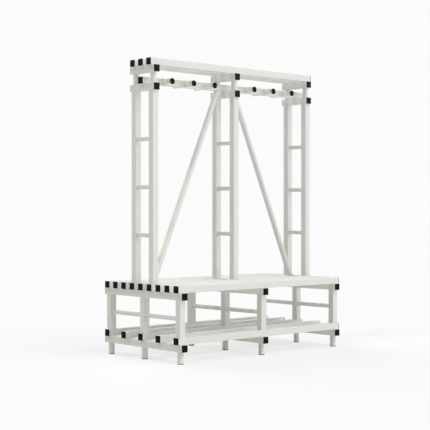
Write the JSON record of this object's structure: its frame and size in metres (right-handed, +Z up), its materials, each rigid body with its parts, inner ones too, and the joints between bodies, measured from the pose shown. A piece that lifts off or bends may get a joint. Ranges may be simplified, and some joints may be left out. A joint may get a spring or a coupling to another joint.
{
  "type": "changing room bench",
  "caption": "Free-standing white plastic tube bench with a slatted seat, a shoe shelf below, and a braced coat stand above with a rail of round hooks and a slatted hat shelf.",
  "frame": {"origin": "on the floor under the middle of the bench, at the foot of the middle centre leg", "axes": "+X along the seat to the right as seen from the front, +Y from the front to the back, +Z up"},
  "size_m": [1.343, 0.71, 1.7483],
  "materials": {
    "white_tube": "satin extruded white",
    "white_pipe": "satin extruded white",
    "black_cap": "fine matt moulded black",
    "grey_foot": "matt dark grey"
  },
  "bodies": {
    "root": {"seat_slat_1": "white_tube", "seat_slat_2": "white_tube", "seat_slat_3": "white_tube", "seat_slat_4": "white_tube", "seat_slat_5": "white_tube", "seat_slat_6": "white_tube", "seat_slat_7": "white_tube", "seat_slat_8": "white_tube", "seat_slat_9": "white_tube", "shelf_slat_1": "white_tube", "shelf_slat_2": "white_tube", "shelf_slat_3": "white_tube", "shelf_slat_4": "white_tube", "shelf_slat_5": "white_tube", "hook_rail": "white_tube", "hat_shelf": "white_tube", "left_shelf_crossbar": "white_tube", "left_seat_crossbar": "white_tube", "left_hook_crossbar": "white_tube", "middle_shelf_crossbar": "white_tube", "middle_seat_crossbar": "white_tube", "middle_hook_crossbar": "white_tube", "right_shelf_crossbar": "white_tube", "right_seat_crossbar": "white_tube", "right_hook_crossbar": "white_tube", "left_front_leg": "white_tube", "left_centre_leg": "white_tube", "left_rear_leg": "white_tube", "middle_front_leg": "white_tube", "middle_centre_leg": "white_tube", "middle_rear_leg": "white_tube", "right_front_leg": "white_tube", "right_centre_leg": "white_tube", "right_rear_leg": "white_tube", "left_front_upright": "white_tube", "left_rear_upright": "white_tube", "middle_front_upright": "white_tube", "middle_rear_upright": "white_tube", "right_front_upright": "white_tube", "right_rear_upright": "white_tube", "left_stretcher": "white_pipe", "middle_stretcher": "white_pipe", "right_stretcher": "white_pipe", "left_rung_1": "white_pipe", "left_rung_2": "white_pipe", "left_rung_3": "white_pipe", "middle_rung_1": "white_pipe", "middle_rung_2": "white_pipe", "middle_rung_3": "white_pipe", "right_rung_1": "white_pipe", "right_rung_2": "white_pipe", "right_rung_3": "white_pipe", "left_brace": "white_pipe", "right_brace": "white_pipe", "coat_hook_1": "white_pipe", "coat_hook_2": "white_pipe", "coat_hook_3": "white_pipe", "coat_hook_4": "white_pipe", "coat_hook_5": "white_pipe", "coat_hook_6": "white_pipe"}
  },
  "joints": []
}
